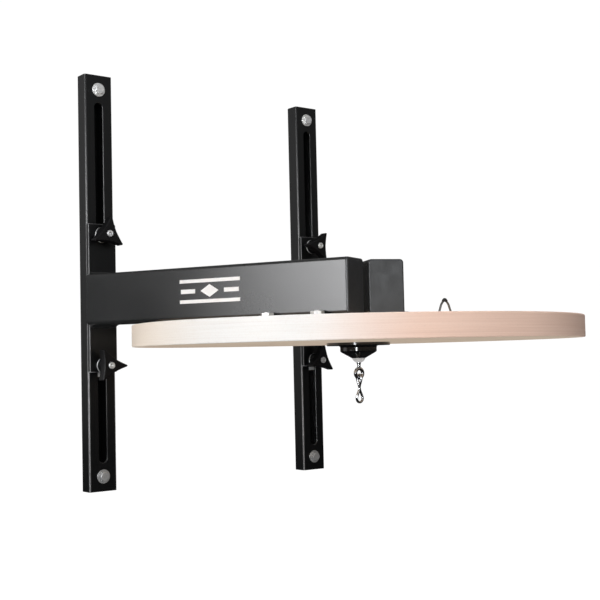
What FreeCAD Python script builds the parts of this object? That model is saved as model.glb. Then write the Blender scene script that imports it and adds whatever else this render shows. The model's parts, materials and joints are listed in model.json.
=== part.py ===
import FreeCAD, Part
import math
import os

from FreeCAD import Rotation, Vector

# Speed bag platform, millimetres. +X to the viewer's right, +Y into the wall, +Z up.
# The origin is the centre of the four wall bolts, on the wall's surface.

# Rails: tubes slotted in front, open at both ends
RAIL_SPACING = 406.4          # 16 in stud spacing
RAIL_LENGTH = 635.0           # 25 in
RAIL_WIDTH = 46.0
RAIL_DEPTH = 25.4
RAIL_WALL = 3.0
RAIL_BEND = 3.0               # outer radius of the tube's corners
SLOT_WIDTH = 13.5
SLOT_LENGTH = 549.0
SLOT_EDGE = 0.8
WALL_HOLE_PITCH = 590.0
WALL_HOLE_R = 4.6

# Wall bolts
LAG_R = 4.0
LAG_SHOULDER_R = 4.3          # under the head, through the rail
LAG_ROOT_R = 3.0
LAG_HEAD_AF = 13.0
LAG_HEAD_H = 5.5
LAG_SMOOTH_Y = 6.0            # the shank is plain this far past the wall's surface
LAG_THREAD_Y = 18.0
LAG_TIP_Y = 24.0
LAG_PITCH = 3.0
LAG_WASHER_R = 10.5
LAG_WASHER_T = 1.6

# Sliding frame: mount plates and arms
SLIDE_GAP = 0.1
FRAME_Z = -25.5               # height of the mount plates' centre at rest
PLATE_WIDTH = 46.0
PLATE_THICK = 6.0
PLATE_LENGTH = 225.0
PLATE_EDGE = 1.2
CLAMP_PITCH = 198.0           # between a plate's two clamp bolts
CLAMP_DROP = 3.5              # their middle, below the plate's centre
ARM_W = 50.8                  # 2 x 3 in tube
ARM_H = 76.2
ARM_WALL = 2.5
ARM_CORNER = 5.0
ARM_Z = FRAME_Z - 2.9         # height of the tubes' axis
ARM_FRONT_X = 27.5            # half the distance between the tubes' front ends
ARM_FRONT_Y = -415.5
ARM_END_EASE = 0.9
WELD_LEG = 4.0
GUSSET_DROP = 5.5             # hollow weld under each arm, down its plate
GUSSET_REACH = 14.0           # and out along the arm
CAP_FLANGE = 3.0
CAP_EDGE = 2.4
CAP_PLUG = 14.0
CAP_WALL = 2.0
FIT_GAP = 0.1

# Rebound board
BOARD_R = 304.8               # 24 in across
BOARD_THICK = 29.0
BOARD_Y = -381.0              # 15 in from the wall
BOARD_EDGE = 1.5
BOLT_STATIONS = (305.0, 381.0)  # board bolts, measured along each arm from its plate
BOLT_OUT = 35.4               # and outwards from its axis
BOLT_R = 3.95
BOLT_HEAD_R = 8.0
BOLT_HEAD_H = 4.2
BOLT_PROUD = 1.2
TAB_WIDTH = 24.0              # tabs welded under the arms, which the board bolts to
TAB_T = 4.0
TAB_INNER = -14.0
TAB_OUTER = 45.4
SPACER_R = 8.5
SPACER_T = 4.3
NUT_AF = 16.5
NUT_T = 5.4
NUT_TURNS = (4.0, 25.0)

# Clamp bolts and knobs
STUD_R = 5.0                  # M10
STUD_PROUD = 1.5
STUD_DIMPLE_R = 2.3
STUD_DIMPLE = 4.0
NECK_SQUARE = 10.0
BOLT_DOME_R = 11.0
BOLT_DOME_H = 5.0
BACKING_SIDE = 34.0
BACKING_T = 4.0
WASHER_R = 12.0
WASHER_T = 2.0
KNOB_DEPTH = 24.0
KNOB_HUB_R = 12.0
KNOB_HUB_DEPTH = 9.0
KNOB_TIP_R = 26.5
KNOB_WAIST_R = 11.5
KNOB_FLANK_R = 15.0
KNOB_FLANK_ANGLE = 24.0
INSERT_R = 6.5
INSERT_LENGTH = 19.0
# name, side, upper or lower, angle of the first lobe seen from the front
KNOBS = (
    ("left_upper", -1, 1, -37.0),
    ("left_lower", -1, -1, -2.0),
    ("right_upper", 1, 1, 58.0),
    ("right_lower", 1, -1, -38.0),
)

# Swivel
SWIVEL_Y = -385.0
FLANGE_R = 43.5
FLANGE_T = 4.2
CUP_R = 25.0
CUP_WALL = 2.6
CUP_SIDE = 11.6               # depth of the cup's straight side below the board
CUP_LIP_R = 10.4
CUP_DEPTH = 21.2
SCREW_CIRCLE_R = 35.0
SCREW_R = 2.0
SCREW_HEAD_R = 4.2
SCREW_HEAD_H = 2.4            # countersunk
SCREW_LENGTH = 20.0
BALL_R = 9.5
BALL_DROP = 18.5              # ball's centre below the board
BALL_FLAT = 8.2               # flats on the ball, from its centre
BALL_CLEARANCE = 0.05
SEAT_POCKET_R = 8.2
SEAT_DEPTH = 17.0
STEM_R = 3.0
STEM_HEAD_R = 4.5
STEM_HEAD_H = 2.2
NECK_R = 2.4
EYE_WIRE_R = 2.4
EYE_R = 6.4
EYE_DROP = 42.0
LINK_WIRE_R = 1.7
LINK_TOP_R = 4.3
LINK_WAIST = 1.95
LINK_BOTTOM_R = 5.2
LINK_LENGTH = 28.0            # between the link's two bend centres

# Storage loop on the board's top
LOOP_WIRE_R = 1.35
LOOP_FOOT_X = 11.6
LOOP_KNEE_X = 6.4
LOOP_KNEE_H = 14.5
LOOP_HEIGHT = 22.0
LOOP_BEND_R = 2.4
LOOP_Y = -552.0
LOOP_EMBED = 14.0
SLEEVE_R = 1.9
SLEEVE_RUN = 1.6

# Plain marks on the arms' outer sides
DECAL_T = 0.25
DECAL_STATION = 207.0
DECAL_Z = ARM_Z + 3.0
DECAL_BAR = (100.0, 5.0)
DECAL_BAR_OFFSET = 14.5
DECAL_DIAMOND = (15.0, 9.0)   # half diagonals
DECAL_DASH = (24.0, 6.0)
DECAL_DASH_OFFSET = 36.0

RAIL_FRONT = -RAIL_DEPTH
PLATE_BACK = RAIL_FRONT - SLIDE_GAP
PLATE_FRONT = PLATE_BACK - PLATE_THICK
WASHER_FRONT = PLATE_FRONT - WASHER_T
KNOB_BACK = WASHER_FRONT - SLIDE_GAP
KNOB_FRONT = KNOB_BACK - KNOB_DEPTH
BACKING_FRONT = RAIL_FRONT + RAIL_WALL + SLIDE_GAP
ARM_BOTTOM = ARM_Z - ARM_H / 2
BOARD_TOP = ARM_BOTTOM - TAB_T - SPACER_T
BOARD_UNDER = BOARD_TOP - BOARD_THICK
BALL_Z = BOARD_UNDER - BALL_DROP
EYE_Z = BOARD_UNDER - EYE_DROP
LINK_PIVOT_Z = EYE_Z - EYE_R
X_AXIS, Y_AXIS, Z_AXIS = Vector(1, 0, 0), Vector(0, 1, 0), Vector(0, 0, 1)


def box(x, y, z):
    """Box between two limits on each axis, given as pairs."""
    return Part.makeBox(x[1] - x[0], y[1] - y[0], z[1] - z[0], Vector(x[0], y[0], z[0]))


def rod(radius, start, axis, length):
    return Part.makeCylinder(radius, length, start, axis)


def turned(profile, base, axis):
    """Solid of revolution of (radius, distance along axis) points."""
    points = [Vector(r, 0, d) for r, d in profile]
    face = Part.Face(Part.makePolygon(points + points[:1]))
    solid = face.revolve(Vector(0, 0, 0), Z_AXIS, 360)
    solid.rotate(Vector(0, 0, 0), Rotation(Z_AXIS, axis).Axis,
                 math.degrees(Rotation(Z_AXIS, axis).Angle))
    solid.translate(base)
    return solid


def hex_prism(across_flats, start, axis, length):
    corner = across_flats / math.sqrt(3)
    points = [Vector(corner * math.cos(math.radians(60 * i)),
                     corner * math.sin(math.radians(60 * i)), 0) for i in range(7)]
    prism = Part.Face(Part.makePolygon(points)).extrude(Vector(0, 0, length))
    turn = Rotation(Z_AXIS, axis)
    prism.rotate(Vector(0, 0, 0), turn.Axis, math.degrees(turn.Angle))
    prism.translate(start)
    return prism


def rounded_bar(width, height, corner, length):
    """Bar along +Z with a rounded rectangular section centred on the Z axis."""
    bar = box((-width / 2, width / 2), (-height / 2, height / 2), (0, length))
    edges = [e for e in bar.Edges if abs(e.tangentAt(e.FirstParameter).z) > 0.9]
    return bar.makeFillet(corner, edges)


def save(name, *solids):
    shape = solids[0] if len(solids) == 1 else Part.makeCompound(list(solids))
    if not shape.isValid():
        raise ValueError(name + " is not a valid shape")
    shape.exportStep("parts/" + name + ".step")
    print(name, len(shape.Solids), "solid(s), volume", round(shape.Volume, 1))


# ---- wall rails ----

def rail(side):
    x = side * RAIL_SPACING / 2
    half = RAIL_WIDTH / 2
    ends = (-RAIL_LENGTH / 2, RAIL_LENGTH / 2)
    body = box((x - half, x + half), (RAIL_FRONT, 0), ends)
    body = body.makeFillet(RAIL_BEND, [e for e in body.Edges if abs(e.Length - RAIL_LENGTH) < 1e-6])
    hollow = box((x - half + RAIL_WALL, x + half - RAIL_WALL),
                 (RAIL_FRONT + RAIL_WALL, -RAIL_WALL), (ends[0] - 1, ends[1] + 1))
    body = body.cut(hollow)
    slot_r = SLOT_WIDTH / 2
    straight = SLOT_LENGTH / 2 - slot_r
    through = (RAIL_FRONT - 1, RAIL_FRONT + RAIL_WALL + 1)
    slot = box((x - slot_r, x + slot_r), through, (-straight, straight))
    for z in (-straight, straight):
        slot = slot.fuse(rod(slot_r, Vector(x, through[0], z), Y_AXIS, through[1] - through[0]))
    body = body.cut(slot)
    lip = [e for e in body.Edges if e.BoundBox.YMax < RAIL_FRONT + 1e-6
           and abs(e.CenterOfMass.x - x) < half - 5 and abs(e.CenterOfMass.z) < SLOT_LENGTH / 2]
    body = body.makeChamfer(SLOT_EDGE, lip)
    for z in (-WALL_HOLE_PITCH / 2, WALL_HOLE_PITCH / 2):
        body = body.cut(rod(WALL_HOLE_R, Vector(x, through[0], z), Y_AXIS, RAIL_DEPTH + 2))
    return body.removeSplitter()


def wall_positions():
    return [(side * RAIL_SPACING / 2, end * WALL_HOLE_PITCH / 2) for side in (-1, 1) for end in (-1, 1)]


def lag_bolt(x, z):
    head_back = RAIL_FRONT - LAG_WASHER_T
    profile = [(0, LAG_TIP_Y), (0, head_back), (LAG_SHOULDER_R, head_back), (LAG_SHOULDER_R, -0.3),
               (LAG_R, 0), (LAG_R, LAG_SMOOTH_Y)]
    y = LAG_SMOOTH_Y
    while y + LAG_PITCH <= LAG_THREAD_Y + 1e-6:
        profile += [(LAG_ROOT_R, y + 0.25 * LAG_PITCH), (LAG_ROOT_R, y + 0.45 * LAG_PITCH),
                    (LAG_R, y + 0.75 * LAG_PITCH), (LAG_R, y + 0.85 * LAG_PITCH)]
        y += LAG_PITCH
    profile += [(LAG_ROOT_R, y), (0.6, LAG_TIP_Y)]
    shank = turned(profile, Vector(x, 0, z), Y_AXIS)
    head = hex_prism(LAG_HEAD_AF, Vector(x, head_back, z), Vector(0, -1, 0), LAG_HEAD_H)
    crown = turned([(0, 0), (LAG_HEAD_AF, 0), (LAG_HEAD_AF, LAG_HEAD_H - 3.8),
                    (LAG_HEAD_AF / 2 - 0.4, LAG_HEAD_H), (0, LAG_HEAD_H)],
                   Vector(x, head_back, z), Vector(0, -1, 0))
    return head.common(crown).fuse(shank).removeSplitter()


def ring(inner, outer, start, axis, thick, edge=0.3):
    """Flat washer with its outer edges eased."""
    return turned([(inner, 0), (outer - edge, 0), (outer, edge), (outer, thick - edge),
                   (outer - edge, thick), (inner, thick)], start, axis)


# ---- sliding frame ----

def clamp_height(level):
    return FRAME_Z - CLAMP_DROP + level * CLAMP_PITCH / 2


def clamp_positions():
    return [(side * RAIL_SPACING / 2, clamp_height(level)) for side in (-1, 1) for level in (-1, 1)]


def mount_plate(side):
    x = side * RAIL_SPACING / 2
    plate = box((x - PLATE_WIDTH / 2, x + PLATE_WIDTH / 2), (PLATE_FRONT, PLATE_BACK),
                (FRAME_Z - PLATE_LENGTH / 2, FRAME_Z + PLATE_LENGTH / 2))
    corners = [e for e in plate.Edges if abs(e.Length - PLATE_THICK) < 1e-6]
    plate = plate.makeFillet(2.0, corners)
    rim = [e for e in plate.Edges if e.BoundBox.YMax < PLATE_FRONT + 1e-3]
    plate = plate.makeFillet(PLATE_EDGE, rim)
    for hole_x, z in clamp_positions():
        if hole_x == x:
            plate = plate.cut(rod(STUD_R + 0.25, Vector(x, PLATE_FRONT - 1, z), Y_AXIS, PLATE_THICK + 2))
    return plate


def arm_frame(side):
    """Start of an arm's axis on its plate, unit vector along it, and its length."""
    start = Vector(side * RAIL_SPACING / 2, PLATE_FRONT, ARM_Z)
    run = Vector(side * ARM_FRONT_X, ARM_FRONT_Y, ARM_Z) - start
    return start, Vector(run).normalize(), run.Length


def along_arm(side, shape, station):
    """Place a shape modelled along +Z, width along X and height along Y, on an arm's axis."""
    start, axis, _ = arm_frame(side)
    shape.rotate(Vector(0, 0, 0), X_AXIS, 90)      # +Z becomes -Y, height becomes +Z
    turn = math.degrees(math.atan2(axis.x, -axis.y))
    shape.rotate(Vector(0, 0, 0), Z_AXIS, turn)
    shape.translate(start + axis * station)
    return shape


def arm(side):
    start, axis, length = arm_frame(side)
    lead = ARM_W                                   # extra length that the mitre takes off
    reach = length - CAP_FLANGE + lead
    outer = rounded_bar(ARM_W, ARM_H, ARM_CORNER, reach)
    outer = outer.makeFillet(ARM_END_EASE, [e for e in outer.Edges if e.BoundBox.ZMin > reach - 1e-3])
    inner = rounded_bar(ARM_W - 2 * ARM_WALL, ARM_H - 2 * ARM_WALL, ARM_CORNER - ARM_WALL, reach)
    tube = along_arm(side, outer.cut(inner), -lead)
    tube = tube.cut(box((start.x - 100, start.x + 100), (PLATE_FRONT, 100),
                        (ARM_Z - ARM_H, ARM_Z + ARM_H)))
    half = PLATE_WIDTH / 2 - 1.5
    for up, leg, reach in ((1, WELD_LEG, WELD_LEG), (-1, GUSSET_DROP, GUSSET_REACH)):
        z = ARM_Z + up * ARM_H / 2
        curve = [(reach * (1 - math.sin(math.radians(a))), leg * (1 - math.cos(math.radians(a))))
                 for a in range(0, 91, 15)]
        outline = [(0, -1.0), (reach, -1.0)] + curve
        corner = [Vector(start.x - half, PLATE_FRONT - out, z + up * rise) for out, rise in outline]
        bead = Part.Face(Part.makePolygon(corner + corner[:1])).extrude(Vector(2 * half, 0, 0))
        tube = tube.fuse(bead)
    return tube.removeSplitter()


def end_cap(side):
    length = arm_frame(side)[2]
    flange = rounded_bar(ARM_W, ARM_H, ARM_CORNER, CAP_FLANGE)
    front = [e for e in flange.Edges if e.BoundBox.ZMin > CAP_FLANGE - 1e-3]
    flange = flange.makeFillet(CAP_EDGE, front)
    width = ARM_W - 2 * ARM_WALL - 2 * FIT_GAP
    height = ARM_H - 2 * ARM_WALL - 2 * FIT_GAP
    plug = rounded_bar(width, height, 2.4, CAP_PLUG)
    plug = plug.cut(rounded_bar(width - 2 * CAP_WALL, height - 2 * CAP_WALL, 0.5, CAP_PLUG))
    plug.translate(Vector(0, 0, -CAP_PLUG))
    return along_arm(side, flange.fuse(plug).removeSplitter(), length - CAP_FLANGE)


def decal(side):
    """Two bars with a diamond and two dashes between them, on the arm's outer side."""
    pieces = []
    for up in (-1, 1):
        pieces.append(box((-DECAL_BAR[0] / 2, DECAL_BAR[0] / 2), (0, DECAL_T),
                          (up * DECAL_BAR_OFFSET - DECAL_BAR[1] / 2,
                           up * DECAL_BAR_OFFSET + DECAL_BAR[1] / 2)))
        pieces.append(box((up * DECAL_DASH_OFFSET - DECAL_DASH[0] / 2,
                           up * DECAL_DASH_OFFSET + DECAL_DASH[0] / 2), (0, DECAL_T),
                          (-DECAL_DASH[1] / 2, DECAL_DASH[1] / 2)))
    w, h = DECAL_DIAMOND
    outline = [Vector(w, 0, 0), Vector(0, 0, h), Vector(-w, 0, 0), Vector(0, 0, -h), Vector(w, 0, 0)]
    pieces.append(Part.Face(Part.makePolygon(outline)).extrude(Vector(0, DECAL_T, 0)))
    start, axis, _ = arm_frame(side)
    outward = Vector(-axis.y * side, axis.x * side, 0)
    face = start + axis * DECAL_STATION + outward * (ARM_W / 2)
    turn = math.degrees(math.atan2(outward.y, outward.x)) - 90
    for piece in pieces:
        piece.rotate(Vector(0, 0, 0), Z_AXIS, turn)
        piece.translate(Vector(face.x, face.y, DECAL_Z))
    return pieces


# ---- rebound board and its fasteners ----

def board_bolt_positions():
    """x, y and which of the two stations, for each bolt."""
    spots = []
    for side in (-1, 1):
        start, axis, _ = arm_frame(side)
        outward = Vector(-axis.y * side, axis.x * side, 0)
        for index, station in enumerate(BOLT_STATIONS):
            p = start + axis * station + outward * BOLT_OUT
            spots.append((p.x, p.y, index))
    return spots


def screw_positions():
    return [(SCREW_CIRCLE_R * math.cos(math.radians(45 + 90 * i)),
             SWIVEL_Y + SCREW_CIRCLE_R * math.sin(math.radians(45 + 90 * i))) for i in range(4)]


def drum_board():
    board = Part.makeCylinder(BOARD_R, BOARD_THICK, Vector(0, BOARD_Y, BOARD_UNDER))
    board = board.makeFillet(BOARD_EDGE, [e for e in board.Edges if e.Length > BOARD_R and e.Closed])
    for x, y, _ in board_bolt_positions():
        sink = turned([(0, -1), (BOLT_HEAD_R + 1.5, -1), (BOLT_HEAD_R + 0.5, 0),
                       (BOLT_R + 0.3, BOLT_HEAD_H + 0.3), (BOLT_R + 0.3, BOARD_THICK + 1),
                       (0, BOARD_THICK + 1)], Vector(x, y, BOARD_UNDER), Z_AXIS)
        board = board.cut(sink)
    for x, y in screw_positions():
        board = board.cut(rod(SCREW_R + 0.05, Vector(x, y, BOARD_UNDER - 1), Z_AXIS, SCREW_LENGTH + 2))
    for foot in (-1, 1):
        board = board.cut(rod(LOOP_WIRE_R + 0.05, Vector(foot * LOOP_FOOT_X, LOOP_Y, BOARD_TOP + 1),
                              Vector(0, 0, -1), LOOP_EMBED + 2))
    return board


def board_bolt(x, y):
    top = ARM_BOTTOM - BOARD_UNDER + NUT_T + BOLT_PROUD
    body = turned([(0, 0.2), (BOLT_HEAD_R - 0.2, 0.2), (BOLT_HEAD_R - 0.2, 0.5), (BOLT_R, BOLT_HEAD_H),
                   (BOLT_R, top - 0.8), (BOLT_R - 0.8, top), (0, top)],
                  Vector(x, y, BOARD_UNDER), Z_AXIS)
    socket = hex_prism(5.0, Vector(x, y, BOARD_UNDER), Z_AXIS, 3.0)
    return body.cut(socket)


def board_tab(side, station):
    tab = box((TAB_INNER, TAB_OUTER), (-TAB_WIDTH / 2, TAB_WIDTH / 2), (0, TAB_T))
    tab = tab.makeFillet(7.0, [e for e in tab.Edges
                               if abs(e.Length - TAB_T) < 1e-6 and e.BoundBox.XMin > TAB_OUTER - 1e-3])
    tab = tab.cut(rod(BOLT_R + 0.3, Vector(BOLT_OUT, 0, -1), Z_AXIS, TAB_T + 2))
    start, axis, _ = arm_frame(side)
    outward = Vector(-axis.y * side, axis.x * side, 0)
    tab.rotate(Vector(0, 0, 0), Z_AXIS, math.degrees(math.atan2(outward.y, outward.x)))
    p = start + axis * station
    tab.translate(Vector(p.x, p.y, ARM_BOTTOM - TAB_T))
    return tab


def board_nut(x, y, turn):
    base = Vector(x, y, ARM_BOTTOM)
    nut = hex_prism(NUT_AF, base, Z_AXIS, NUT_T)
    ease = turned([(0, 0), (NUT_AF / 2 - 0.2, 0), (NUT_AF / 2 + 1.1, 0.8), (NUT_AF / 2 + 1.1, NUT_T - 0.8),
                   (NUT_AF / 2 - 0.2, NUT_T), (0, NUT_T)], base, Z_AXIS)
    nut = nut.common(ease).cut(rod(BOLT_R + 0.05, Vector(x, y, ARM_BOTTOM - 1), Z_AXIS, NUT_T + 2))
    nut.rotate(base, Z_AXIS, turn)
    return nut


# ---- clamp bolts and knobs ----

def clamp_bolt(x, z):
    head_face = BACKING_FRONT + BACKING_T
    tip = KNOB_FRONT - STUD_PROUD
    dome = [(BOLT_DOME_R * math.cos(math.radians(a)),
             head_face + 1.0 + (BOLT_DOME_H - 1.0) * math.sin(math.radians(a))) for a in range(0, 91, 15)]
    dome[-1] = (0, head_face + BOLT_DOME_H)
    head = turned([(0, head_face), (BOLT_DOME_R, head_face)] + dome, Vector(x, 0, z), Y_AXIS)
    half = NECK_SQUARE / 2
    neck = box((x - half, x + half), (BACKING_FRONT + 0.2, head_face + 0.5), (z - half, z + half))
    shank = turned([(0, head_face + 0.5), (STUD_R, head_face + 0.5), (STUD_R, tip + 0.8),
                    (STUD_R - 0.8, tip), (STUD_DIMPLE_R + 0.5, tip), (STUD_DIMPLE_R, tip + 0.5),
                    (STUD_DIMPLE_R, tip + STUD_DIMPLE), (0, tip + STUD_DIMPLE + 1.2)],
                   Vector(x, 0, z), Y_AXIS)
    return head.fuse([neck, shank]).removeSplitter()


def backing_plate(x, z):
    half = BACKING_SIDE / 2
    hole = NECK_SQUARE / 2 + 0.2
    plate = box((x - half, x + half), (BACKING_FRONT, BACKING_FRONT + BACKING_T), (z - half, z + half))
    plate = plate.makeFillet(3.0, [e for e in plate.Edges if abs(e.Length - BACKING_T) < 1e-6])
    return plate.cut(box((x - hole, x + hole), (BACKING_FRONT - 1, BACKING_FRONT + BACKING_T + 1),
                         (z - hole, z + hole)))


def lobe_outline(angle):
    """Three pointed lobes joined by hollow flanks, in the XZ plane."""
    def at(radius, degrees):
        a = math.radians(degrees)
        return Vector(radius * math.cos(a), 0, radius * math.sin(a))
    edges = []
    for lobe in range(3):
        tip = angle + 120 * lobe
        nose = 3.0
        edges.append(Part.Arc(at(KNOB_TIP_R - 0.6, tip - nose), at(KNOB_TIP_R, tip),
                              at(KNOB_TIP_R - 0.6, tip + nose)).toShape())
        edges.append(Part.Arc(at(KNOB_TIP_R - 0.6, tip + nose), at(KNOB_FLANK_R, tip + KNOB_FLANK_ANGLE),
                              at(KNOB_WAIST_R, tip + 60)).toShape())
        edges.append(Part.Arc(at(KNOB_WAIST_R, tip + 60), at(KNOB_FLANK_R, tip + 120 - KNOB_FLANK_ANGLE),
                              at(KNOB_TIP_R - 0.6, tip + 120 - nose)).toShape())
    return Part.Wire(edges)


def knob(side, level, angle):
    x, z = side * RAIL_SPACING / 2, clamp_height(level)
    lobes_back = KNOB_BACK - KNOB_HUB_DEPTH
    lobes = Part.Face(lobe_outline(angle)).extrude(Vector(0, KNOB_FRONT - lobes_back, 0))
    lobes.translate(Vector(x, lobes_back, z))
    lobes = lobes.makeFillet(1.2, [e for e in lobes.Edges
                                   if e.BoundBox.YLength < 1e-3])
    hub = turned([(0, 0), (KNOB_HUB_R - 1.0, 0), (KNOB_HUB_R, 1.0), (KNOB_HUB_R, KNOB_HUB_DEPTH - 2.0),
                  (KNOB_WAIST_R - 1.0, KNOB_HUB_DEPTH + 1.5), (0, KNOB_HUB_DEPTH + 1.5)],
                 Vector(x, KNOB_BACK, z), Vector(0, -1, 0))
    body = lobes.fuse(hub)
    bore = turned([(0, -1), (INSERT_R, -1), (INSERT_R, INSERT_LENGTH + 0.1),
                   (STUD_R + 0.3, INSERT_LENGTH + 0.1), (STUD_R + 0.3, KNOB_DEPTH - 1.0),
                   (STUD_R + 1.3, KNOB_DEPTH + 0.1), (0, KNOB_DEPTH + 0.1)],
                  Vector(x, KNOB_BACK, z), Vector(0, -1, 0))
    return body.cut(bore).removeSplitter()


def knob_insert(side, level):
    x, z = side * RAIL_SPACING / 2, clamp_height(level)
    return turned([(STUD_R + 0.05, 0), (INSERT_R - 0.05, 0), (INSERT_R - 0.05, INSERT_LENGTH),
                   (STUD_R + 0.05, INSERT_LENGTH)], Vector(x, KNOB_BACK, z), Vector(0, -1, 0))


# ---- swivel ----

def swivel_point(drop):
    return Vector(0, SWIVEL_Y, BOARD_UNDER - drop)


def countersink(gap):
    """Profile of a flat screw head and its shank, downwards from the flange's face."""
    return [(0, -FLANGE_T - 1), (SCREW_R + gap, -FLANGE_T - 1), (SCREW_R + gap, -SCREW_HEAD_H),
            (SCREW_HEAD_R + gap, -0.3), (SCREW_HEAD_R + gap, 1 if gap else 0), (0, 1 if gap else 0)]


def swivel_housing():
    down = Vector(0, 0, -1)
    outer = [(0, 0), (FLANGE_R, 0), (FLANGE_R, FLANGE_T - 0.8), (FLANGE_R - 0.8, FLANGE_T),
             (CUP_R + 3.0, FLANGE_T), (CUP_R + 1.0, FLANGE_T + 0.6), (CUP_R, FLANGE_T + 2.4),
             (CUP_R, CUP_SIDE), (CUP_R - 0.8, CUP_SIDE + 1.2), (CUP_R - 2.6, CUP_SIDE + 2.4),
             (CUP_LIP_R, CUP_DEPTH - 0.5), (CUP_LIP_R - 0.5, CUP_DEPTH), (0, CUP_DEPTH)]
    inner = [(0, -1), (CUP_R - CUP_WALL, -1), (CUP_R - CUP_WALL, CUP_SIDE - 0.5),
             (CUP_R - CUP_WALL - 2.2, CUP_SIDE + 1.3), (CUP_R - 10.0, CUP_SIDE + 4.6),
             (8.0, CUP_DEPTH - 3.6), (0, CUP_DEPTH - 3.6)]
    body = turned(outer, swivel_point(0), down).cut(turned(inner, swivel_point(0), down))
    body = body.cut(Part.makeSphere(BALL_R + BALL_CLEARANCE, swivel_point(BALL_DROP)))
    for x, y in screw_positions():
        hole = turned(countersink(0.1), Vector(x, y, BOARD_UNDER - FLANGE_T), down)
        body = body.cut(hole)
    return body.removeSplitter()


def seat_ring():
    outer_r = CUP_R - CUP_WALL - 0.3
    ring_body = turned([(SEAT_POCKET_R, 0.05), (outer_r, 0.05), (outer_r, CUP_SIDE - 1.5),
                        (CUP_R - 10.5, CUP_SIDE + 3.6), (SEAT_POCKET_R, SEAT_DEPTH)],
                       swivel_point(0), Vector(0, 0, -1))
    return ring_body.cut(Part.makeSphere(BALL_R + BALL_CLEARANCE, swivel_point(BALL_DROP)))


def swivel_screw(x, y):
    tip = -FLANGE_T - SCREW_LENGTH
    body = turned([(0, tip), (SCREW_R, tip + 3.0)] + countersink(0)[2:],
                  Vector(x, y, BOARD_UNDER - FLANGE_T), Vector(0, 0, -1))
    for turn in (0, 90):
        slot = box((-2.4, 2.4), (-0.5, 0.5), (-0.5, 1.4))
        slot.rotate(Vector(0, 0, 0), Z_AXIS, turn + 20)
        slot.translate(Vector(x, y, BOARD_UNDER - FLANGE_T))
        body = body.cut(slot)
    return body


def swivel_ball():
    ball = Part.makeSphere(BALL_R, swivel_point(BALL_DROP))
    reach = 2 * BALL_R
    above = box((-reach, reach), (SWIVEL_Y - reach, SWIVEL_Y + reach), (BALL_Z + BALL_FLAT, BALL_Z + reach))
    bore = rod(STEM_R + BALL_CLEARANCE, swivel_point(BALL_DROP + reach), Z_AXIS, 2 * reach)
    return ball.cut(above).cut(bore)


def hook_stem():
    """Riveted head, shank through the ball, neck and closed ring eye."""
    head_under = BALL_DROP - BALL_FLAT - BALL_CLEARANCE
    below_ball = BALL_DROP + BALL_R + 0.6
    eye_top = EYE_DROP - EYE_R
    stem = turned([(0, head_under - STEM_HEAD_H), (STEM_HEAD_R - 1.2, head_under - STEM_HEAD_H),
                   (STEM_HEAD_R, head_under - STEM_HEAD_H + 1.2), (STEM_HEAD_R, head_under),
                   (STEM_R, head_under), (STEM_R, below_ball), (NECK_R, below_ball + 1.2),
                   (NECK_R, eye_top), (0, eye_top)], swivel_point(0), Vector(0, 0, -1))
    eye = Part.makeTorus(EYE_R, EYE_WIRE_R, swivel_point(EYE_DROP), Y_AXIS)
    return stem.fuse(eye).removeSplitter()


def hook_link():
    """Closed wire link: its upper bend lies across the eye and its lower bend a quarter turn round."""
    def strand_point(t):
        # one strand, from the upper bend's end to the lower bend's end
        angle = math.radians(90 * (1 - t * t * (3 - 2 * t)))
        end_width = LINK_TOP_R if t < 0.5 else LINK_BOTTOM_R
        width = LINK_WAIST + (end_width - LINK_WAIST) * math.cos(math.pi * t) ** 2
        return Vector(width * math.cos(angle), width * math.sin(angle), -LINK_LENGTH * t)

    quarter = [math.radians(30 * i) for i in range(3)]
    top = [Vector(0, LINK_TOP_R * math.sin(a), LINK_TOP_R * math.cos(a)) for a in quarter]
    bottom = [Vector(LINK_BOTTOM_R * math.sin(a), 0, -LINK_LENGTH - LINK_BOTTOM_R * math.cos(a))
              for a in reversed(quarter)]
    down = top + [strand_point(i / 10) for i in range(11)] + bottom
    up = [Vector(-p.x, -p.y, p.z) for p in reversed(down)]
    curve = Part.BSplineCurve()
    curve.interpolate(Points=down + up[1:-1], PeriodicFlag=True)
    curve.translate(Vector(0, SWIVEL_Y, LINK_PIVOT_Z))
    first, last = curve.FirstParameter, curve.LastParameter
    middle = curve.parameter(down[-1] + Vector(0, SWIVEL_Y, LINK_PIVOT_Z))
    sides = []
    for begin, end in ((first, middle), (middle, last)):
        path = Part.Wire(curve.toShape(begin, end))
        half = tube_along(path, curve.value(begin), curve.tangent(begin)[0], LINK_WIRE_R)
        sides += [face for face in half.Faces if not isinstance(face.Surface, Part.Plane)]
    return Part.Solid(Part.Shell(sides))


# ---- storage loop ----

def loop_points():
    return [Vector(x, LOOP_Y, BOARD_TOP + h) for x, h in
            ((-LOOP_FOOT_X, -LOOP_EMBED), (-LOOP_FOOT_X, 2.0), (-LOOP_KNEE_X, LOOP_KNEE_H),
             (0, LOOP_HEIGHT), (LOOP_KNEE_X, LOOP_KNEE_H), (LOOP_FOOT_X, 2.0), (LOOP_FOOT_X, -LOOP_EMBED))]


def bent_wire(points, radii):
    """Straight runs joined by tangent arcs at the inner points."""
    edges = []
    last = points[0]
    for before, corner, after, radius in zip(points, points[1:], points[2:], radii):
        back = (before - corner).normalize()
        ahead = (after - corner).normalize()
        half = back.getAngle(ahead) / 2
        cut = radius / math.tan(half)
        entry, leave = corner + back * cut, corner + ahead * cut
        bisector = (back + ahead).normalize()
        middle = corner + bisector * (radius / math.sin(half) - radius)
        edges.append(Part.LineSegment(last, entry).toShape())
        edges.append(Part.Arc(entry, middle, leave).toShape())
        last = leave
    edges.append(Part.LineSegment(last, points[-1]).toShape())
    return Part.Wire(edges)


def tube_along(wire, start, direction, radius):
    section = Part.Wire(Part.Circle(start, direction, radius).toShape())
    return wire.makePipeShell([section], True, False)


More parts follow.
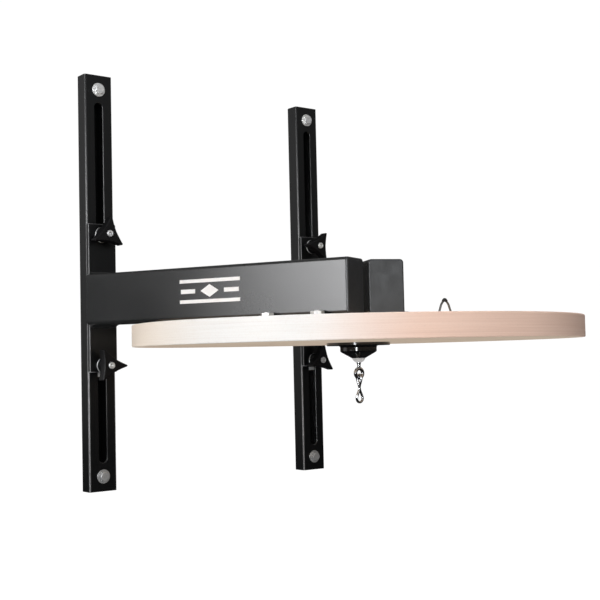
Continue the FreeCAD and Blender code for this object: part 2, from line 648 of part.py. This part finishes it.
def storage_loop():
    points = loop_points()
    wire = bent_wire(points, (5.0, 6.0, LOOP_BEND_R, 6.0, 5.0))
    return tube_along(wire, points[0], Z_AXIS, LOOP_WIRE_R)


def storage_sleeve():
    points = loop_points()
    knee, top, other = points[2], points[3], points[4]
    side = (knee - top).normalize()
    half = side.getAngle((other - top).normalize()) / 2
    reach = LOOP_BEND_R / math.tan(half) + SLEEVE_RUN
    ends = [top + side * reach, top, top + (other - top).normalize() * reach]
    wire = bent_wire(ends, (LOOP_BEND_R,))
    outer = tube_along(wire, ends[0], side, SLEEVE_R)
    return outer.cut(tube_along(wire, ends[0], side, LOOP_WIRE_R + 0.05))


def main():
    os.makedirs("parts", exist_ok=True)
    for name, side in (("left", -1), ("right", 1)):
        save(name + "_rail", rail(side))
        save(name + "_mount_plate", mount_plate(side))
        save(name + "_arm", arm(side))
        save(name + "_arm_end_cap", end_cap(side))
        save(name + "_arm_decal", *decal(side))
    save("wall_lag_bolts", *[lag_bolt(x, z) for x, z in wall_positions()])
    save("wall_bolt_washers", *[ring(WALL_HOLE_R, LAG_WASHER_R, Vector(x, RAIL_FRONT, z), Vector(0, -1, 0),
                                     LAG_WASHER_T) for x, z in wall_positions()])
    save("drum_board", drum_board())
    save("board_bolts", *[board_bolt(x, y) for x, y, _ in board_bolt_positions()])
    save("board_spacers", *[ring(BOLT_R + 0.4, SPACER_R, Vector(x, y, BOARD_TOP), Z_AXIS, SPACER_T)
                            for x, y, _ in board_bolt_positions()])
    save("board_tabs", *[board_tab(side, station) for side in (-1, 1) for station in BOLT_STATIONS])
    save("board_nuts", *[board_nut(x, y, NUT_TURNS[index]) for x, y, index in board_bolt_positions()])
    save("storage_loop", storage_loop())
    save("storage_loop_sleeve", storage_sleeve())
    save("clamp_bolts", *[clamp_bolt(x, z) for x, z in clamp_positions()])
    save("clamp_backing_plates", *[backing_plate(x, z) for x, z in clamp_positions()])
    save("clamp_washers", *[ring(STUD_R + 0.3, WASHER_R, Vector(x, PLATE_FRONT, z),
                                 Vector(0, -1, 0), WASHER_T) for x, z in clamp_positions()])
    for name, side, level, angle in KNOBS:
        save(name + "_knob", knob(side, level, angle))
        save(name + "_knob_insert", knob_insert(side, level))
    save("swivel_housing", swivel_housing())
    save("swivel_seat_ring", seat_ring())
    save("swivel_screws", *[swivel_screw(x, y) for x, y in screw_positions()])
    save("swivel_ball", swivel_ball())
    save("hook_stem", hook_stem())
    save("hook_link", hook_link())


main()
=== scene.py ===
import json
import math

import bpy
from mathutils import Matrix, Vector


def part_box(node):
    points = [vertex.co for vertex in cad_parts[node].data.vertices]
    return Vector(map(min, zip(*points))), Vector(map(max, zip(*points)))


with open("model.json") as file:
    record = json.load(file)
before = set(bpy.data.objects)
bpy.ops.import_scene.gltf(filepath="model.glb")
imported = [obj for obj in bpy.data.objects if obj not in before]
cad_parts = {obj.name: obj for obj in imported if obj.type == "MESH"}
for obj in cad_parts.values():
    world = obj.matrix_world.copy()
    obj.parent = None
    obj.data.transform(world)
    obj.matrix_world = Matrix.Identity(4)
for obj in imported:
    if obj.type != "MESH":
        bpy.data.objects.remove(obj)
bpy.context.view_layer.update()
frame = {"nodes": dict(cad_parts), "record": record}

MM = 0.001
SCENE = bpy.context.scene

# where things stand on the object, in metres
RAIL_X = 203.2 * MM  # from the middle to each rail's centre line
EDGE_HIGHLIGHT_Z = -140.0 * MM  # height where the painted highlight on the rails' edges is brightest
BOARD_CENTRE = (0.0, -0.40, 0.0)  # roughly; most lights face it

# the board's wood
STAVE_WIDTH = 62.0 * MM
RIM_BAND = 4.0 * MM  # thickness of the strip bent round the board
GLUE_INNER, GLUE_OUTER = 0.15 * MM, 0.45 * MM  # half widths of the glue line behind it
LIT_SIDE = (-0.79, 0.61)  # the way the rim's painted lit half faces, in X and Y
FACE_TONES = ((0.30, (0.72, 0.55, 0.40)), (0.52, (0.80, 0.645, 0.50)),
              (0.72, (0.855, 0.72, 0.585)))
ROSY_TONES = ((0.28, (0.80, 0.55, 0.44)), (0.5, (0.86, 0.61, 0.495)),
              (0.74, (0.90, 0.665, 0.555)))
# painted light: the rim's wood paled to a creamy tone on the side where the light falls
LIT_CREAM_TONES = ((0.28, (0.735, 0.71, 0.685)), (0.5, (0.785, 0.77, 0.75)),
               (0.74, (0.825, 0.815, 0.80)))
DARK_STAVE = (0.66, 0.485, 0.345)
DARK_FIBRE = (0.55, 0.40, 0.28)
SEAM_BROWN = (0.33, 0.22, 0.14)
# painted light: the lit half of the rim turns yellower towards its end
LIT_END_YELLOW = (0.95, 0.80, 0.65)
SPECKLE = (0.62, 0.47, 0.38)
FLECK = (0.55, 0.40, 0.30)
GLUE_BROWN = (0.30, 0.20, 0.13)

# light grey of the painted highlight on the rails' edges
EDGE_HIGHLIGHT_GREY = (0.34, 0.34, 0.35)
COOL_WHITE = (0.95, 0.98, 1.0)
WHITE = (1.0, 1.0, 1.0)

# the camera
AZIMUTH, PITCH, ROLL = -0.66053, 0.05221, 0.0228  # radians
CAMERA_PLACE = (-0.97299, -1.50927, -0.12126)
SENSOR_WIDTH = 36.0  # mm
LENS = 64.9464  # mm

# the studio
FLOOR_Z = -1.30
FLOOR_HALF = 14.0
DOME_RADIUS = 16.0


def scaled(colour, factor):
    return tuple(c * factor for c in colour)


# ---------------------------------------------------------------- node helpers

class Tree:
    """Short calls for building a material's node tree."""

    def __init__(self, name):
        self.material = bpy.data.materials.new(name)
        self.material.use_nodes = True
        self.tree = self.material.node_tree
        self.tree.nodes.clear()
        self.out = self.add("ShaderNodeOutputMaterial")

    def add(self, kind, **settings):
        node = self.tree.nodes.new(kind)
        for key, value in settings.items():
            setattr(node, key, value)
        return node

    def link(self, source, target):
        self.tree.links.new(source, target)

    def put(self, socket, value):
        """Link a socket to another, or give it a number or a colour."""
        if isinstance(value, bpy.types.NodeSocket):
            self.link(value, socket)
        elif socket.type == "RGBA" and isinstance(value, tuple) and len(value) == 3:
            socket.default_value = (*value, 1.0)
        else:
            socket.default_value = value

    def coords(self):
        return self.add("ShaderNodeTexCoord").outputs["Object"]

    def mapped(self, scale=(1.0, 1.0, 1.0), location=(0.0, 0.0, 0.0), source=None):
        node = self.add("ShaderNodeMapping")
        self.put(node.inputs["Vector"], source or self.coords())
        node.inputs["Scale"].default_value = scale
        node.inputs["Location"].default_value = location
        return node.outputs["Vector"]

    def noise(self, vector, scale, detail=3.0, roughness=0.5, distortion=0.0):
        node = self.add("ShaderNodeTexNoise")
        self.put(node.inputs["Vector"], vector)
        node.inputs["Scale"].default_value = scale
        node.inputs["Detail"].default_value = detail
        node.inputs["Roughness"].default_value = roughness
        node.inputs["Distortion"].default_value = distortion
        return node.outputs["Fac"]

    def ramp(self, fac, stops):
        """Colour ramp from (position, colour) stops."""
        node = self.add("ShaderNodeValToRGB")
        elements = node.color_ramp.elements
        while len(elements) < len(stops):
            elements.new(1.0)
        for element, (position, colour) in zip(elements, stops):
            element.position = position
            element.color = (*colour, 1.0)
        self.put(node.inputs["Fac"], fac)
        return node.outputs["Color"]

    def math(self, operation, a, b=0.0):
        node = self.add("ShaderNodeMath", operation=operation)
        self.put(node.inputs[0], a)
        self.put(node.inputs[1], b)
        return node.outputs[0]

    def distance(self, a, b):
        return self.math("ABSOLUTE", self.math("SUBTRACT", a, b))

    def remap(self, value, low, high, to_low=0.0, to_high=1.0, smooth=False):
        node = self.add("ShaderNodeMapRange")
        node.interpolation_type = "SMOOTHSTEP" if smooth else "LINEAR"
        for key, v in (("Value", value), ("From Min", low), ("From Max", high),
                       ("To Min", to_low), ("To Max", to_high)):
            self.put(node.inputs[key], v)
        return node.outputs["Result"]

    def mix(self, fac, a, b):
        node = self.add("ShaderNodeMix", data_type="RGBA")
        for index, value in ((0, fac), (6, a), (7, b)):  # the factor and the two colours
            self.put(node.inputs[index], value)
        return node.outputs[2]

    def split(self, vector):
        node = self.add("ShaderNodeSeparateXYZ")
        self.put(node.inputs[0], vector)
        return node.outputs

    def join(self, x, z):
        node = self.add("ShaderNodeCombineXYZ")
        self.put(node.inputs["X"], x)
        self.put(node.inputs["Z"], z)
        return node.outputs[0]

    def bump(self, height, strength, distance, normal=None):
        node = self.add("ShaderNodeBump")
        self.put(node.inputs["Height"], height)
        node.inputs["Strength"].default_value = strength
        node.inputs["Distance"].default_value = distance
        if normal is not None:
            self.put(node.inputs["Normal"], normal)
        return node.outputs["Normal"]

    def bevel(self, radius):
        node = self.add("ShaderNodeBevel", samples=4)
        node.inputs["Radius"].default_value = radius
        return node.outputs["Normal"]

    def shader(self, **inputs):
        node = self.add("ShaderNodeBsdfPrincipled")
        for key, value in inputs.items():
            self.put(node.inputs[key.replace("_", " ")], value)
        self.link(node.outputs[0], self.out.inputs["Surface"])
        return self.material


# ------------------------------------------------------------------- materials

def painted_edge_highlight(t, where, rub_and_sheen_patches, amount):
    """Mask of a painted highlight on edges, brightest at the height where the rails' corner
    highlight peaks.

    An edge is where a surface turns between the object's own axes. The slots' edges get less of
    the painted highlight than the rails' corners, and least near the slots' lower ends.
    """
    facing = t.add("ShaderNodeVectorMath", operation="ABSOLUTE")
    t.put(facing.inputs[0], t.add("ShaderNodeTexCoord").outputs["Normal"])
    nx, ny, nz = t.split(facing.outputs[0])
    squareness = t.math("MAXIMUM", nx, t.math("MAXIMUM", ny, nz))
    edge = t.remap(squareness, 0.985, 0.90, 0.0, amount)

    x, _, z = t.split(where)
    by_height = t.remap(t.distance(z, EDGE_HIGHLIGHT_Z), 0.38, 0.06, 0.03, 1.0)
    from_slot = t.distance(t.math("ABSOLUTE", x), RAIL_X)
    at_slot = t.remap(z, -0.12, 0.10, 0.10, 0.50)
    by_place = t.math("MAXIMUM", at_slot, t.remap(from_slot, 0.010, 0.018))

    mask = t.math("MULTIPLY", edge, by_height)
    mask = t.math("MULTIPLY", mask, by_place)
    return t.math("MULTIPLY", mask, t.remap(rub_and_sheen_patches, 0.35, 0.6, 0.6, 1.0))


def powder_coat(name, colour, rough, peel_mm, peel_depth, coat=0.0, edges=0.0):
    """Powder coat over steel: orange peel, fine grain and cloudy gloss.

    peel_mm is the size of the orange peel and peel_depth its depth in mm. coat is the weight
    of a clear coat. edges is how far a painted highlight on the edges goes towards light grey.
    """
    t = Tree(name)
    where = t.coords()
    peel = t.noise(where, 1000.0 / peel_mm, 2.0, 0.55)
    grain = t.noise(where, 2600.0, 2.0, 0.6)
    cloud = t.noise(where, 9.0, 4.0, 0.6)
    rub_and_sheen_patches = t.noise(where, 110.0, 5.0, 0.65)
    base = t.mix(t.remap(cloud, 0.3, 0.7), scaled(colour, 0.86), scaled(colour, 1.16))
    base = t.mix(t.remap(grain, 0.35, 0.7, 0.0, 0.5), base, scaled(colour, 1.7))
    # painted highlight: the edges are mixed towards light grey
    if edges:
        base = t.mix(painted_edge_highlight(t, where, rub_and_sheen_patches, edges), base, EDGE_HIGHLIGHT_GREY)
    roughness = t.math("ADD", t.remap(cloud, 0.3, 0.7, rough - 0.02, rough + 0.02),
                       t.remap(rub_and_sheen_patches, 0.45, 0.8, 0.0, 0.02))
    height = t.math("ADD", peel, t.math("MULTIPLY", grain, 0.15))
    return t.shader(Base_Color=base, Roughness=roughness, Specular_IOR_Level=0.5,
                    Normal=t.bump(height, 0.35, peel_depth * MM, t.bevel(0.5 * MM)),
                    Coat_Weight=coat, Coat_Roughness=0.12)


def moulded_plastic(name, colour, rough, grain_mm=0.6, depth=0.02, shine=0.45):
    """Moulded plastic with a fine grain; depth is the grain's, in mm."""
    t = Tree(name)
    where = t.coords()
    grain = t.noise(where, 1000.0 / grain_mm, 3.0, 0.6)
    cloud = t.noise(where, 22.0, 3.0, 0.5)
    base = t.mix(t.remap(cloud, 0.3, 0.7), scaled(colour, 0.88), scaled(colour, 1.14))
    roughness = t.remap(t.noise(where, 60.0, 4.0, 0.6), 0.3, 0.7, rough - 0.05, rough + 0.07)
    return t.shader(Base_Color=base, Roughness=roughness, Specular_IOR_Level=shine,
                    Normal=t.bump(grain, 0.5, depth * MM, t.bevel(0.4 * MM)))


def plated_metal(name, colour, rough, tint=(0.0, 0.0, 0.0), metallic=1.0, depth=0.015,
                 shade_below=0.0):
    """Zinc or chrome plating: fine drawn streaks, cloudy tint and handling marks.

    tint is added to the colour in patches, and depth is the streaks', in mm. The last argument
    darkens pieces towards the rails' lower ends, as painted shade.
    """
    t = Tree(name)
    where = t.coords()
    cloud = t.noise(where, 60.0, 4.0, 0.6)
    marks = t.noise(t.mapped((1.0, 1.0, 0.25), source=where), 2200.0, 3.0, 0.6)
    mottle = t.noise(where, 260.0, 3.0, 0.6)
    tinted = tuple(min(1.0, c + d) for c, d in zip(colour, tint))
    base = t.mix(t.remap(cloud, 0.35, 0.65), colour, tinted)
    base = t.mix(t.remap(marks, 0.55, 0.8, 0.0, 0.25), base, scaled(colour, 0.6))
    base = t.mix(t.remap(mottle, 0.5, 0.7, 0.0, 0.35), base, scaled(colour, 0.55))
    # painted shade: darker towards the bottom
    if shade_below:
        z = t.split(where)["Z"]
        base = t.mix(t.remap(z, 0.1, -0.25, 0.0, shade_below), base, scaled(colour, 0.3))
    roughness = t.math("ADD", t.remap(cloud, 0.3, 0.7, rough - 0.04, rough + 0.06),
                       t.remap(marks, 0.4, 0.8, 0.0, 0.05))
    return t.shader(Base_Color=base, Metallic=metallic, Roughness=roughness,
                    Normal=t.bump(marks, 0.3, depth * MM, t.bevel(0.25 * MM)))


def vinyl(name, colour):
    """Thin vinyl film, faintly soiled."""
    t = Tree(name)
    where = t.coords()
    soil = t.remap(t.noise(where, 90.0, 4.0, 0.6), 0.35, 0.7)
    return t.shader(Base_Color=t.mix(soil, colour, scaled(colour, 0.93)),
                    Roughness=t.remap(t.noise(where, 300.0), 0.3, 0.7, 0.38, 0.5),
                    Normal=t.bump(t.noise(where, 900.0), 0.2, 0.01 * MM))


def rubber(name, colour):
    """Matt rubber with a fine grain."""
    t = Tree(name)
    where = t.coords()
    return t.shader(Base_Color=t.mix(t.noise(where, 500.0), colour, scaled(colour, 1.8)),
                    Roughness=t.remap(t.noise(where, 700.0), 0.3, 0.7, 0.6, 0.75),
                    Normal=t.bump(t.noise(where, 2500.0), 0.4, 0.03 * MM))


def board_faces(t, where, y):
    """The two flat faces: glued staves along X, each with its own tone and figure.

    Gives their colour, the fibre's height and the seams between staves.
    """
    stave = t.math("DIVIDE", y, STAVE_WIDTH)
    index = t.math("FLOOR", stave)
    draw = t.add("ShaderNodeTexWhiteNoise", noise_dimensions="1D")
    t.put(draw.inputs["W"], index)
    tone = draw.outputs["Value"]
    seam = t.remap(t.distance(t.math("FRACT", stave), 0.5), 0.487, 0.5)
    move = t.add("ShaderNodeVectorMath", operation="ADD")
    t.put(move.inputs[0], where)
    t.put(move.inputs[1], t.join(t.math("MULTIPLY", tone, 3.0), t.math("MULTIPLY", index, 0.37)))
    moved = move.outputs[0]
    figure = t.noise(t.mapped((1.6, 13.0, 9.0), source=moved), 6.0, 5.0, 0.55, 1.1)
    fibre = t.noise(t.mapped((14.0, 420.0, 420.0), source=moved), 3.0, 4.0, 0.6)
    colour = t.mix(t.remap(tone, 0.0, 1.0, 0.0, 0.28), t.ramp(figure, FACE_TONES), DARK_STAVE)
    colour = t.mix(t.remap(fibre, 0.55, 0.8, 0.0, 0.28), colour, DARK_FIBRE)
    colour = t.mix(t.math("MULTIPLY", seam, 0.45), colour, SEAM_BROWN)
    return colour, fibre, seam


def board_rim(t, where, radius):
    """The rim: a bent strip of pinkish wood whose grain runs round it, painted paler and creamy
    on the side the light falls on, with painted shade darkening its far side.

    Gives its colour and the grain's height.
    """
    x, y, z = t.split(where)
    band = t.join(t.math("MULTIPLY", t.math("ARCTAN2", y, x), radius), z)
    side = t.math("ADD", t.math("MULTIPLY", x, LIT_SIDE[0]),
                  t.math("MULTIPLY", y, LIT_SIDE[1]))
    side = t.math("DIVIDE", side, radius)
    lines = t.noise(t.mapped((2.2, 1.0, 260.0), source=band), 2.0, 5.0, 0.6, 0.4)
    fleck = t.noise(t.mapped((30.0, 1.0, 900.0), source=band), 1.0, 3.0, 0.55)
    speckle = t.noise(where, 420.0, 3.0, 0.7)
    drift = t.noise(t.mapped((3.0, 1.0, 9.0), source=band), 1.3)
    drift = t.math("MULTIPLY", t.math("SUBTRACT", drift, 0.5), 0.3)
    # painted light: the rim turns from its pinkish wood to a paler creamy tone on its lit side,
    # yellower towards that side's end
    lit_side = t.remap(t.math("ADD", side, drift), -0.17, 0.30, smooth=True)
    lit_end = t.remap(side, 0.55, 1.0, 0.0, 0.8, smooth=True)
    lit_cream = t.mix(lit_end, t.ramp(lines, LIT_CREAM_TONES), LIT_END_YELLOW)
    # painted shade: the far side's pinkish wood darkens towards black
    rosy_and_shade = t.mix(t.remap(side, -0.62, -0.90, 0.0, 0.16), t.ramp(lines, ROSY_TONES),
                 (0.0, 0.0, 0.0))
    colour = t.mix(lit_side, rosy_and_shade, lit_cream)
    colour = t.mix(t.remap(speckle, 0.5, 0.75, 0.0, 0.16), colour, SPECKLE)
    colour = t.mix(t.remap(fleck, 0.6, 0.85, 0.0, 0.12), colour, FLECK)
    return colour, lines


def maple(name):
    """Pale maple: staves across the board and a bent strip in two tones round its rim: painted
    light makes its lit side paler and painted shade darkens its far side.
    """
    t = Tree(name)
    low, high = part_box("drum_board")
    radius = (high.x - low.x) / 2
    where = t.mapped(location=tuple(-c for c in (low + high) / 2))
    x, y, _ = t.split(where)
    face, fibre, seam = board_faces(t, where, y)
    rim, lines = board_rim(t, where, radius)

    out = t.math("SQRT", t.math("ADD", t.math("MULTIPLY", x, x), t.math("MULTIPLY", y, y)))
    inside = radius - RIM_BAND
    edge = t.remap(out, inside - 0.2 * MM, inside + 0.2 * MM)
    glue = t.remap(t.distance(out, inside), GLUE_OUTER, GLUE_INNER)
    colour = t.mix(t.math("MULTIPLY", glue, 0.4), t.mix(edge, face, rim), GLUE_BROWN)
    height = t.math("ADD", t.math("MULTIPLY", t.mix(edge, fibre, lines), 0.6),
                    t.math("MULTIPLY", seam, -0.8))
    rough = t.remap(t.noise(where, 35.0, 3.0, 0.6), 0.3, 0.7, 0.46, 0.56)
    return t.shader(Base_Color=colour, Roughness=rough, Specular_IOR_Level=0.3,
                    Normal=t.bump(height, 0.25, 0.05 * MM))


ZINC_TINT = (0.03, 0.02, -0.03)

# by the record's material slots
FINISHES = {
    # the rails' edges carry a painted highlight
    "black_powder_coat": powder_coat("rail_black", (0.0021, 0.0023, 0.0026), 0.29,
                                     peel_mm=1.3, peel_depth=0.03, edges=0.8),
    "black_gloss_coat": powder_coat("arm_black", (0.0125, 0.0130, 0.0132), 0.25,
                                    peel_mm=1.6, peel_depth=0.010, coat=0.5),
    "black_plastic_cap": moulded_plastic("cap_black", (0.019, 0.021, 0.024), 0.40,
                                         grain_mm=0.8, depth=0.03, shine=0.8),
    "black_knob_plastic": moulded_plastic("knob_black", (0.0035, 0.0035, 0.004), 0.36,
                                          shine=0.3),
    "white_vinyl": vinyl("decal_white", (0.86, 0.86, 0.86)),
    "maple": maple("maple"),
    "zinc": plated_metal("zinc", (0.82, 0.83, 0.85), 0.42, ZINC_TINT, metallic=0.7),
    "black_oxide": plated_metal("screw_black", (0.05, 0.05, 0.052), 0.4),
    "steel_wire": plated_metal("wire", (0.20, 0.20, 0.205), 0.36, (0.03, 0.02, 0.0)),
    "black_rubber": rubber("sleeve_rubber", (0.012, 0.012, 0.012)),
    "nylon": moulded_plastic("nylon", (0.80, 0.79, 0.74), 0.4),
    "chrome": plated_metal("chrome", (0.46, 0.465, 0.48), 0.13, (0.02, 0.02, 0.02),
                           depth=0.006),
}
# zinc for the wall bolts, with painted shade towards the rails' lower ends
BOLT_ZINC = plated_metal("bolt_zinc", (0.87, 0.88, 0.90), 0.42, ZINC_TINT, metallic=0.7,
                         shade_below=0.65)

# by node, where a piece looks unlike the rest of its slot
OWN_FINISH = {
    "wall_lag_bolts": BOLT_ZINC,
    "wall_bolt_washers": BOLT_ZINC,
    "swivel_housing": powder_coat("housing_black", (0.002, 0.002, 0.0023), 0.16,
                                  peel_mm=1.6, peel_depth=0.004, coat=1.0),
    "swivel_ball": plated_metal("ball_zinc", (0.93, 0.93, 0.94), 0.35, metallic=0.15),
}
for part in frame["record"]["subparts"]:
    materials = frame["nodes"][part["node"]].data.materials
    materials.clear()
    materials.append(OWN_FINISH.get(part["node"], FINISHES[part["material_slot"]]))


# ---------------------------------------------------------------------- camera

def place_camera():
    """The viewing angle: low, to the left of the board."""
    forward = Vector((-math.sin(AZIMUTH) * math.cos(PITCH),
                      math.cos(AZIMUTH) * math.cos(PITCH), math.sin(PITCH)))
    level = Vector((math.cos(AZIMUTH), math.sin(AZIMUTH), 0.0))
    plumb = forward.cross(level)
    right = math.cos(ROLL) * level + math.sin(ROLL) * plumb
    down = math.cos(ROLL) * plumb - math.sin(ROLL) * level
    data = bpy.data.cameras.new("camera")
    data.sensor_width = SENSOR_WIDTH
    data.lens = LENS
    data.clip_start, data.clip_end = 0.05, 60.0
    camera = bpy.data.objects.new("camera", data)
    SCENE.collection.objects.link(camera)
    turn = Matrix((right, -down, -forward)).transposed().to_4x4()
    camera.matrix_world = Matrix.Translation(CAMERA_PLACE) @ turn
    SCENE.camera = camera


place_camera()


# ---------------------------------------------------------------- floor, light

def pale_floor():
    corners = [(x * FLOOR_HALF, y * FLOOR_HALF, FLOOR_Z)
               for x, y in ((-1, -1), (1, -1), (1, 1), (-1, 1))]
    mesh = bpy.data.meshes.new("floor")
    mesh.from_pydata(corners, [], [(0, 1, 2, 3)])
    floor = bpy.data.objects.new("floor", mesh)
    SCENE.collection.objects.link(floor)
    floor.visible_diffuse = floor.visible_glossy = False
    t = Tree("floor_pale")
    mesh.materials.append(t.shader(
        Base_Color=t.mix(t.noise(t.coords(), 3.0), (0.88, 0.88, 0.88), (0.92, 0.92, 0.92)),
        Roughness=0.9, Emission_Color=WHITE, Emission_Strength=0.86, Specular_IOR_Level=0.1))


def white_backdrop():
    """A dome that only the camera sees."""
    bpy.ops.mesh.primitive_uv_sphere_add(segments=64, ring_count=32, radius=DOME_RADIUS)
    dome = bpy.context.object
    dome.name = "backdrop"
    dome.visible_diffuse = dome.visible_glossy = dome.visible_transmission = False
    dome.visible_shadow = dome.visible_volume_scatter = False
    t = Tree("backdrop_white")
    glow = t.add("ShaderNodeEmission")
    t.put(glow.inputs["Color"], WHITE)
    t.put(glow.inputs["Strength"], 1.02)
    t.link(glow.outputs[0], t.out.inputs["Surface"])
    dome.data.materials.append(t.material)


def ambient():
    """Soft fill from all round, dimmer from below, from behind the rails and from the right."""
    world = bpy.data.worlds.new("studio")
    SCENE.world = world
    world.use_nodes = True
    nodes, links = world.node_tree.nodes, world.node_tree.links

    def graded(axis, low, high, to_low, to_high):
        ramp = nodes.new("ShaderNodeMapRange")
        ramp.interpolation_type = "SMOOTHSTEP"
        for key, value in (("From Min", low), ("From Max", high),
                           ("To Min", to_low), ("To Max", to_high)):
            ramp.inputs[key].default_value = value
        links.new(split.outputs[axis], ramp.inputs["Value"])
        return ramp.outputs["Result"]

    split = nodes.new("ShaderNodeSeparateXYZ")
    links.new(nodes.new("ShaderNodeTexCoord").outputs["Generated"], split.inputs[0])
    strength = graded("Z", -0.10, 0.30, 0.022, 0.27)
    for axis, low, high, dimmed in (("Y", 0.3, 1.0, 0.3), ("X", 0.5, 1.0, 0.5)):
        product = nodes.new("ShaderNodeMath")
        product.operation = "MULTIPLY"
        links.new(strength, product.inputs[0])
        links.new(graded(axis, low, high, 1.0, dimmed), product.inputs[1])
        strength = product.outputs[0]
    nodes["Background"].inputs["Color"].default_value = (1.0, 0.99, 0.985, 1.0)
    links.new(strength, nodes["Background"].inputs["Strength"])


def softbox(name, place, size, radiance, target=BOARD_CENTRE, colour=WHITE, fade=0.0,
            gloss=True, matte=True):
    """Rectangular area light facing a target, of a given radiance.

    fade is the share of its width, from one edge, over which it dims to nothing.
    gloss and matte say whether surfaces mirror it and whether it lights them.
    """
    data = bpy.data.lights.new(name, "AREA")
    data.shape = "RECTANGLE"
    data.size, data.size_y = size
    data.energy = radiance * math.pi * size[0] * size[1]
    data.color = colour
    if fade:
        data.use_nodes = True
        nodes, links = data.node_tree.nodes, data.node_tree.links
        across = nodes.new("ShaderNodeSeparateXYZ")
        ramp = nodes.new("ShaderNodeMapRange")
        ramp.inputs["From Max"].default_value = fade
        links.new(nodes.new("ShaderNodeNewGeometry").outputs["Parametric"], across.inputs[0])
        links.new(across.outputs["X"], ramp.inputs["Value"])
        links.new(ramp.outputs["Result"], nodes["Emission"].inputs["Strength"])
    light = bpy.data.objects.new(name, data)
    SCENE.collection.objects.link(light)
    light.rotation_mode = "QUATERNION"
    facing = Vector(target) - Vector(place)
    light.rotation_quaternion = facing.to_track_quat("-Z", "Y")
    light.location = place
    light.visible_camera = False
    light.visible_glossy, light.visible_diffuse = gloss, matte


pale_floor()
white_backdrop()
ambient()

# panels that make the reflections
softbox("left_panel", (-2.0, -0.465, 0.38), (1.09, 0.86), 9.6, target=(0.0, -0.465, 0.38),
        colour=(0.98, 0.985, 1.0), fade=0.52, matte=False)
softbox("lens_panel", (-1.37, -1.40, 0.0), (0.14, 0.6), 42.0, target=(0.0, -0.40, -0.08),
        colour=COOL_WHITE, matte=False)
softbox("cap_panel", (-0.25, -2.6, 0.42), (0.6, 0.8), 4.2, colour=COOL_WHITE, matte=False)
softbox("back_left_panel", (-1.9, 1.6, 0.4), (1.6, 1.6), 0.55, target=(0.0, 0.0, 0.0))

# lights that are not mirrored
softbox("key", (-1.45, -1.65, 0.45), (0.8, 0.8), 9.0, target=(0.0, -0.38, -0.1), gloss=False)
for name, place, size, radiance in (
        ("left_fill", (-2.0, -0.15, 0.38), (1.1, 0.9), 4.0),
        ("front_fill", (-0.45, -2.5, 0.6), (1.0, 1.0), 1.3),
        ("right_fill", (2.2, 0.3, 0.5), (1.1, 1.1), 3.2),
        ("top_fill", (0.3, -0.7, 2.4), (2.0, 2.0), 2.4),
        ("floor_bounce", (0.0, -0.4, -1.25), (4.0, 4.0), 1.0)):
    softbox(name, place, size, radiance, gloss=False)


SCENE.view_settings.view_transform = "Standard"
SCENE.view_settings.look = "None"
